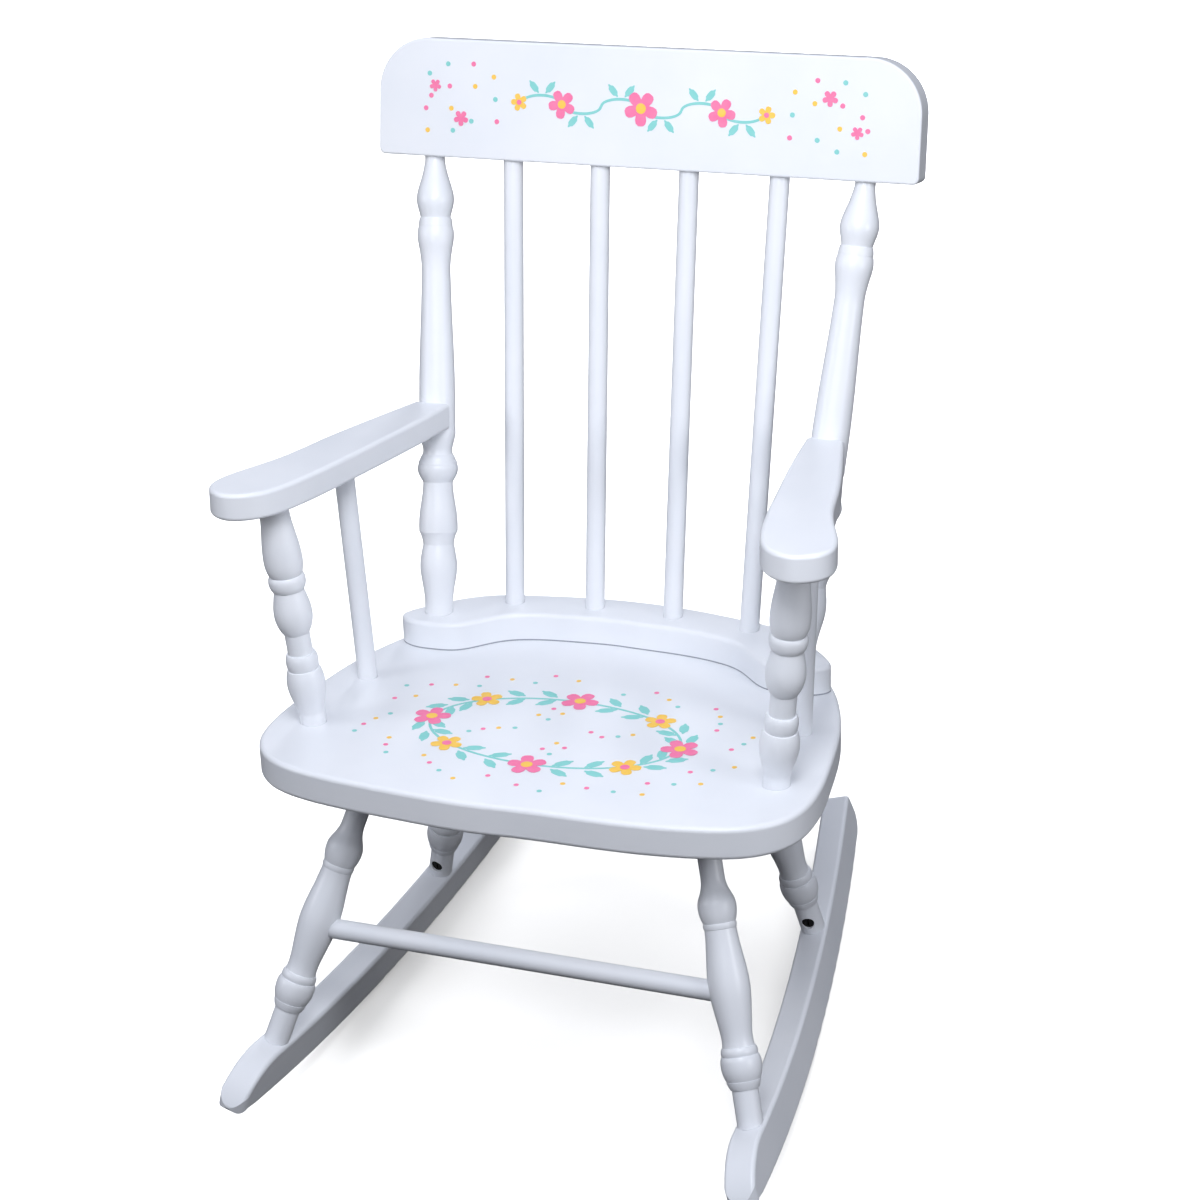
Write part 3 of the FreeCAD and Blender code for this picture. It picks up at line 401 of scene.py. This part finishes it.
def recess(item, cutter):
    """Cuts a recess out of a fastener and takes the cutter away."""
    pick(item)
    hole = item.modifiers.new("recess", "BOOLEAN")
    hole.operation = "DIFFERENCE"
    hole.solver = "EXACT"
    hole.object = cutter
    bpy.ops.object.modifier_apply(modifier=hole.name)
    bpy.data.objects.remove(cutter)


def seat_cutter(cutter, centre, normal):
    """Stands a cutter's own z on a fastener's end."""
    cutter.matrix_world = Matrix.Translation(centre) @ normal.to_track_quat("Z", "X").to_matrix().to_4x4()
    bpy.context.view_layer.update()


def hex_cutter(centre, normal):
    """A six-sided peg in a bolt's head."""
    sizes = bpy.context.scene.chair_fasteners
    bpy.ops.mesh.primitive_cylinder_add(vertices=6, radius=sizes.hex_key / 2, depth=2 * sizes.socket_depth)
    cutter = bpy.context.object
    seat_cutter(cutter, centre, normal)
    return cutter


def slot_cutter(centre, normal, quarter=0):
    """A bar across a fastener's end; a quarter of 1 turns it by a right angle."""
    sizes = bpy.context.scene.chair_fasteners
    bpy.ops.mesh.primitive_cube_add(size=1)
    cutter = bpy.context.object
    across = (sizes.slot_length, sizes.slot_width, 2 * sizes.socket_depth)
    edit(cutter, every_point, (bpy.ops.transform.resize, {"value": across, "center_override": (0, 0, 0)}))
    if quarter:
        cutter.data.transform(Matrix.Rotation(math.pi / 2, 4, "Z"))
    seat_cutter(cutter, centre, normal)
    return cutter


def finish_fasteners(name, node, items, finish="zinc"):
    """Joins detailed fasteners into one steel piece that takes their CAD node's place."""
    piece = joined(name, items)
    bpy.ops.object.shade_smooth_by_angle(angle=SMOOTH_ANGLE)
    dress(piece, finished_steel(f"{finish}_steel_{node}", getattr(bpy.context.scene.chair_paint, finish)))
    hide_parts(node)
    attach(piece, BODY)


class CHAIR_OT_rocker_bolts(bpy.types.Operator):
    """Gives the bolts under the rockers their hex sockets"""
    bl_idname = "chair.rocker_bolts"
    bl_label = "Rocker bolts"

    def execute(self, context):
        items = loose_copies("rocker_bolts")
        for item in items:
            recess(item, hex_cutter(*end_face(item)))
        finish_fasteners("socket_bolts", "rocker_bolts", items)
        return {"FINISHED"}


class CHAIR_OT_barrel_nuts(bpy.types.Operator):
    """Gives the barrel nuts in the legs their slots"""
    bl_idname = "chair.barrel_nuts"
    bl_label = "Barrel nuts"

    def execute(self, context):
        items = loose_copies("barrel_nuts")
        for item in items:
            inward = Vector((0, -math.copysign(1, item.data.polygons[0].center.y), 0))
            recess(item, slot_cutter(*end_face(item, inward)))
        finish_fasteners("slotted_barrel_nuts", "barrel_nuts", items, "oxide")
        return {"FINISHED"}


class CHAIR_OT_screws(bpy.types.Operator):
    """Gives the screws of the bow and the arms their cross recesses"""
    bl_idname = "chair.screws"
    bl_label = "Screws"

    def execute(self, context):
        for node in ("bow_screws", "arm_screws"):
            items = loose_copies(node)
            for item in items:
                end = end_face(item)
                recess(item, slot_cutter(*end))
                recess(item, slot_cutter(*end, quarter=1))
            finish_fasteners("cross_" + node, node, items)
        return {"FINISHED"}


# Print: flat shapes drawn once at unit size, stamped in a plane and lifted onto the board as thin film

PETALS = 5
PETAL_STEPS = 8
PETAL_SHARES = (0.50, 0.74, 0.92, 1.0, 1.0)
LEAF_BREADTH_SHARE = 0.42
LEAF_TIP_SHARE = 0.55


def disc(corners=20):
    bpy.ops.mesh.primitive_circle_add(vertices=corners, radius=1, fill_type="NGON")
    return bpy.context.object


def blossom():
    """A flower with five round petals, from a disc whose points are drawn in between the petals."""
    item = disc(PETALS * PETAL_STEPS)
    for step, share in enumerate(PETAL_SHARES):
        def near(vertex, step=step):
            place = vertex.index % PETAL_STEPS
            return min(place, PETAL_STEPS - place) == step
        edit(item, near, (bpy.ops.transform.resize, {"value": (share, share, 1), "center_override": (0, 0, 0)}))
    return item


def leaf():
    """A pointed leaf along x, from a flattened disc with its two ends drawn narrow."""
    item = disc(24)
    edit(item, every_point,
         (bpy.ops.transform.resize, {"value": (1, LEAF_BREADTH_SHARE, 1), "center_override": (0, 0, 0)}))
    edit(item, lambda vertex: abs(vertex.co.x) > 0.7,
         (bpy.ops.transform.resize, {"value": (1, LEAF_TIP_SHARE, 1), "center_override": (0, 0, 0)}))
    return item


def ring(radius_x, radius_y, width):
    """A flat oval band of even width."""
    bpy.ops.mesh.primitive_circle_add(vertices=96, radius=1)
    item = bpy.context.object
    edit(item, every_point,
         (bpy.ops.transform.resize, {"value": (radius_x, radius_y, 1), "center_override": (0, 0, 0)}),
         (bpy.ops.mesh.extrude_edges_move, {}),
         (bpy.ops.transform.resize, {"value": (1 - width / radius_x, 1 - width / radius_y, 1),
                                     "center_override": (0, 0, 0)}))
    return item


def half_ring(radius_x, radius_y, width, upper):
    """The upper or lower half of an oval band."""
    item = ring(radius_x, radius_y, width)
    edit(item, every_point, (bpy.ops.mesh.bisect, {"plane_co": (0, 0, 0), "plane_no": (0, 1, 0),
                                                   "clear_inner": upper, "clear_outer": not upper}))
    return item


class Sheet:
    """The shapes stamped in one plane so far, by ink and layer, and where that plane lies."""

    def __init__(self, name, mount):
        place, out = mount_plane(mount)
        right = Vector((1, 0, 0))
        self.name = name
        self.stamps = {}
        turn = Matrix((right, out.cross(right), out)).transposed().to_4x4()
        self.plane = Matrix.Translation(place) @ turn

    def stamp(self, shape, ink, x, y, size, turn=0, layer=0):
        """Adds a copy of a shape with its own mesh; x, y and size are in millimetres."""
        copy = shape.copy()
        copy.data = shape.data.copy()
        bpy.context.scene.collection.objects.link(copy)
        copy.data.transform(Matrix.Translation((x * MM, y * MM, 0)) @ Matrix.Rotation(turn, 4, "Z")
                            @ Matrix.Scale(size * MM, 4))
        self.stamps.setdefault((ink, layer), []).append(copy)

    def press(self):
        """Joins each ink's shapes, gives them the film's thickness and lays them on the board."""
        sizes = bpy.context.scene.chair_print
        for (ink, layer), items in self.stamps.items():
            suffix = f"_{layer}" if layer else ""
            piece = joined(f"{self.name}_{ink}{suffix}", items)
            film = piece.modifiers.new("film", "SOLIDIFY")
            film.thickness = sizes.film
            film.offset = 1
            bpy.ops.object.modifier_apply(modifier=film.name)
            rise = sizes.lift + layer * (sizes.film + sizes.lift)
            piece.data.transform(self.plane @ Matrix.Translation((0, 0, rise)))
            dress(piece, printed_ink(piece.name, getattr(sizes, ink)))
            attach(piece, BODY)


INKS = ("pink", "teal", "yellow")
HEART_SHARE = 0.3
STREW_STEPS = (0.7549, 0.5698)

# Garland on the crest, in millimetres from the middle of its face
WAVES, WAVE_REACH, WAVE_RISE, WAVE_STEP_SHARE = 6, 14, 6, 0.95
CREST_LEAF, CREST_LEAF_ASIDE, CREST_LEAF_OUT, CREST_LEAF_LEAN = 5, 5.5, 4.2, 0.7
CREST_BLOSSOMS = ((-53, 9, "pink"), (0, 11, "pink"), (53, 9, "pink"), (-82, 5.5, "yellow"), (82, 5.5, "yellow"))
CREST_TURN = 0.05
CREST_END_BLOSSOMS = ((122, 12, 5), (140, -8, 4))
CREST_DOTS, CREST_DOT_START, CREST_DOT_SPAN, CREST_DOT_LOW, CREST_DOT_HEIGHT = 14, 96, 62, -27, 50

# Wreath on the seat, in millimetres from the middle of its top; rows of dots have a count, a share and a spread
WREATH_MIDDLE, WREATH_LONG, WREATH_SHORT, WREATH_PLACES = -32, 82, 46, 24
WREATH_BLOSSOMS = (("pink", 12), ("yellow", 10))
WREATH_LEAF, WREATH_LEAF_OUT, WREATH_LEAF_LEAN = 7.2, 6.2, 0.6
WREATH_DOTS = ((46, 1.28, 0.34, 0.1), (16, 0.25, 0.45, 0))


def scatter(count):
    """Evenly strewn pairs between 0 and 1, the same each time."""
    first, second = STREW_STEPS
    return [((place * first) % 1, (place * second) % 1) for place in range(1, count + 1)]


def flower(sheet, shapes, ink, x, y, size, turn):
    """Stamps a blossom with a heart of the other warm ink."""
    sheet.stamp(shapes["blossom"], ink, x, y, size, turn, layer=1)
    sheet.stamp(shapes["dot"], "yellow" if ink == "pink" else "pink", x, y, size * HEART_SHARE, layer=2)


class CHAIR_OT_crest_print(bpy.types.Operator):
    """Prints a garland on the crest rail, with dots strewn at both ends"""
    bl_idname = "chair.crest_print"
    bl_label = "Crest print"

    def execute(self, context):
        sizes = context.scene.chair_print
        sheet = Sheet("crest_print", "crest_front")
        shapes = {"dot": disc(), "blossom": blossom(), "leaf": leaf()}
        waves = {upper: half_ring(WAVE_REACH * MM, WAVE_RISE * MM, sizes.stem, upper) for upper in (True, False)}
        for place in range(WAVES):
            middle = (place - (WAVES - 1) / 2) * 2 * WAVE_REACH * WAVE_STEP_SHARE
            sheet.stamp(waves[place % 2 == 0], "teal", middle, 0, 1 / MM)
            side = 1 if place % 2 == 0 else -1
            for lean in (-1, 1):
                sheet.stamp(shapes["leaf"], "teal", middle + lean * CREST_LEAF_ASIDE,
                            side * (WAVE_RISE + CREST_LEAF_OUT), CREST_LEAF,
                            math.pi / 2 + (math.pi / 2 - side * math.pi / 2) - lean * side * CREST_LEAF_LEAN)
        for middle, size, ink in CREST_BLOSSOMS:
            flower(sheet, shapes, ink, middle, 0, size, middle * CREST_TURN)
        for side in (-1, 1):
            for number, (across, up) in enumerate(scatter(CREST_DOTS)):
                sheet.stamp(shapes["dot"], INKS[number % 3], side * (CREST_DOT_START + CREST_DOT_SPAN * across),
                            CREST_DOT_LOW + CREST_DOT_HEIGHT * up, sizes.dot / MM)
            for out, up, size in CREST_END_BLOSSOMS:
                sheet.stamp(shapes["blossom"], "pink", side * out, side * up, size, layer=1)
        sheet.press()
        for item in (*shapes.values(), *waves.values()):
            bpy.data.objects.remove(item)
        return {"FINISHED"}


class CHAIR_OT_seat_print(bpy.types.Operator):
    """Prints an oval wreath on the seat, with dots strewn round it"""
    bl_idname = "chair.seat_print"
    bl_label = "Seat print"

    def execute(self, context):
        sizes = context.scene.chair_print
        sheet = Sheet("seat_print", "seat_top")
        shapes = {"dot": disc(), "blossom": blossom(), "leaf": leaf()}
        band = ring(WREATH_LONG * MM, WREATH_SHORT * MM, sizes.stem)
        sheet.stamp(band, "teal", 0, WREATH_MIDDLE, 1 / MM)
        for place in range(WREATH_PLACES):
            angle = 2 * math.pi * place / WREATH_PLACES
            x, y = WREATH_LONG * math.cos(angle), WREATH_SHORT * math.sin(angle)
            tangent = math.atan2(WREATH_SHORT * math.cos(angle), -WREATH_LONG * math.sin(angle))
            if place % 3 == 0:
                ink, size = WREATH_BLOSSOMS[place // 3 % 2]
                flower(sheet, shapes, ink, x, WREATH_MIDDLE + y, size, angle)
            else:
                across = Vector((math.cos(tangent + math.pi / 2), math.sin(tangent + math.pi / 2)))
                for side in (-1, 1):
                    out = across * side * WREATH_LEAF_OUT
                    sheet.stamp(shapes["leaf"], "teal", x + out.x, WREATH_MIDDLE + y + out.y, WREATH_LEAF,
                                tangent + side * WREATH_LEAF_LEAN)
        for count, start, spread, taller in WREATH_DOTS:
            for number, (turn, out) in enumerate(scatter(count)):
                angle = 2 * math.pi * turn
                share = start + spread * out
                sheet.stamp(shapes["dot"], INKS[number % 3], WREATH_LONG * share * math.cos(angle),
                            WREATH_MIDDLE + WREATH_SHORT * (share + taller) * math.sin(angle), sizes.dot / MM)
        sheet.press()
        for item in (*shapes.values(), band):
            bpy.data.objects.remove(item)
        return {"FINISHED"}


# Stage

SENSOR_WIDTH = 36
WASH_ANGLE = math.radians(90)


def pale_floor():
    """Matt white vinyl floor: a soft even white with a very faint unevenness over half a metre."""
    stage = bpy.context.scene.chair_stage
    material, tree = new_material("pale_matt_floor")
    place = add_node(tree, "ShaderNodeTexCoord")
    uneven = add_node(tree, "ShaderNodeTexNoise", None, {"Scale": 2, "Detail": 2}, {"Vector": (place, "Object")})
    low = [part * 0.985 for part in stage.floor]
    colour = add_node(tree, "ShaderNodeMix", {"data_type": "RGBA"}, {6: (*low, 1), 7: (*stage.floor, 1)},
                      {0: (uneven, 0)})
    shader = add_node(tree, "ShaderNodeBsdfPrincipled", None, {"Roughness": 0.85, "Specular IOR Level": 0.2},
                      {"Base Color": (colour, 2)})
    add_node(tree, "ShaderNodeOutputMaterial", None, None, {"Surface": (shader, 0)})
    return material


def soft_surround():
    """A studio's surround: cool and brightest overhead, and dim and warm towards the floor's line and below it."""
    stage = bpy.context.scene.chair_stage
    world = bpy.data.worlds.new("soft_surround")
    world.use_nodes = True
    tree = world.node_tree
    tree.nodes.clear()
    place = add_node(tree, "ShaderNodeTexCoord")
    way = add_node(tree, "ShaderNodeSeparateXYZ", None, None, {0: (place, "Generated")})
    line = add_node(tree, "ShaderNodeMapRange", {"interpolation_type": "SMOOTHSTEP"},
                    {"From Min": 0, "From Max": stage.sky_line}, {"Value": (way, "Z")})
    colour = add_node(tree, "ShaderNodeMix", {"data_type": "RGBA"},
                      {6: (*stage.ground, 1), 7: (*stage.sky, 1)}, {0: (line, 0)})
    rise = add_node(tree, "ShaderNodeMapRange", None,
                    {"To Min": stage.sky_strength * stage.low_share, "To Max": stage.sky_strength},
                    {"Value": (way, "Z")})
    glow = add_node(tree, "ShaderNodeBackground", None, None, {"Color": (colour, 2), "Strength": (rise, 0)})
    add_node(tree, "ShaderNodeOutputWorld", None, None, {"Surface": (glow, 0)})
    return world


def hang_lamp(name, place, watts, spread=math.pi):
    """A round soft lamp that points at the back of the chair."""
    stage = bpy.context.scene.chair_stage
    bpy.ops.object.light_add(type="AREA", location=place)
    lamp = bpy.context.object
    lamp.name = name
    lamp.data.shape = "DISK"
    lamp.data.size = stage.lamp_size
    lamp.data.color = stage.lamp_colour
    lamp.data.energy = watts
    lamp.data.spread = spread
    lamp.rotation_mode = "QUATERNION"
    lamp.rotation_quaternion = (Vector(stage.lamp_aim) - Vector(place)).to_track_quat("-Z", "Y")
    return lamp


class CHAIR_OT_stage(bpy.types.Operator):
    """Lays the floor, hangs the lamps and sets the camera up"""
    bl_idname = "chair.stage"
    bl_label = "Stage"

    def execute(self, context):
        stage = context.scene.chair_stage
        bpy.ops.mesh.primitive_circle_add(vertices=96, radius=stage.floor_reach, fill_type="NGON")
        floor = context.object
        floor.name = "floor"
        dress(floor, pale_floor())
        floor.visible_diffuse = False
        floor.visible_glossy = False
        floor.visible_shadow = False
        context.scene.world = soft_surround()
        hang_lamp("key_lamp", stage.key_place, stage.key_watts)
        hang_lamp("front_lamp", stage.front_place, stage.front_watts, stage.front_spread)
        hang_lamp("side_lamp", stage.side_place, stage.side_watts)
        hang_lamp("left_lamp", stage.left_place, stage.left_watts)
        rear = hang_lamp("rear_lamp", stage.rear_place, stage.rear_watts)
        rear.visible_glossy = False
        bpy.ops.object.light_add(type="SUN", location=stage.key_place)
        wash = context.object
        wash.name = "floor_light"
        wash.data.energy = stage.floor_light
        wash.data.angle = WASH_ANGLE
        lit = bpy.data.collections.new("lit_floor")
        lit.objects.link(floor)
        wash.light_linking.receiver_collection = lit
        wash.light_linking.blocker_collection = lit
        bpy.ops.object.camera_add(location=stage.eye)
        camera = context.object
        camera.name = "photo_camera"
        look = (Vector(stage.aim) - Vector(stage.eye)).to_track_quat("-Z", "Y")
        camera.rotation_mode = "QUATERNION"
        camera.rotation_quaternion = look @ Quaternion((0, 0, 1), stage.roll)
        camera.data.sensor_width = SENSOR_WIDTH
        camera.data.lens = stage.lens
        context.scene.camera = camera
        context.scene.view_settings.view_transform = "Standard"
        return {"FINISHED"}


# Panel and start

OPERATORS = (CHAIR_OT_paint_turnings, CHAIR_OT_paint_boards, CHAIR_OT_paint_dowels, CHAIR_OT_rocker_bolts,
             CHAIR_OT_barrel_nuts, CHAIR_OT_screws, CHAIR_OT_crest_print, CHAIR_OT_seat_print, CHAIR_OT_stage)
SETTINGS = {"chair_paint": ChairPaint, "chair_print": ChairPrint, "chair_fasteners": ChairFasteners,
            "chair_stage": ChairStage}


class CHAIR_PT_panel(bpy.types.Panel):
    """Lists the steps that dress the rocking chair"""
    bl_idname = "CHAIR_PT_panel"
    bl_label = "Rocking chair"
    bl_space_type = "VIEW_3D"
    bl_region_type = "UI"
    bl_category = "Rocking Chair"

    def draw(self, context):
        for name, group in SETTINGS.items():
            box = self.layout.box()
            for field in group.__annotations__:
                box.prop(getattr(context.scene, name), field)
        for operator in OPERATORS:
            self.layout.operator(operator.bl_idname)


def register():
    for group in (*SETTINGS.values(), *OPERATORS, CHAIR_PT_panel):
        bpy.utils.register_class(group)
    for name, group in SETTINGS.items():
        setattr(bpy.types.Scene, name, bpy.props.PointerProperty(type=group))


def unregister():
    for name in SETTINGS:
        delattr(bpy.types.Scene, name)
    for group in (CHAIR_PT_panel, *OPERATORS, *SETTINGS.values()):
        bpy.utils.unregister_class(group)


def main():
    register()
    bpy.ops.chair.stage()
    bpy.ops.chair.paint_turnings()
    bpy.ops.chair.paint_boards()
    bpy.ops.chair.paint_dowels()
    bpy.ops.chair.rocker_bolts()
    bpy.ops.chair.barrel_nuts()
    bpy.ops.chair.screws()
    bpy.ops.chair.crest_print()
    bpy.ops.chair.seat_print()


if __name__ == "__main__":
    main()
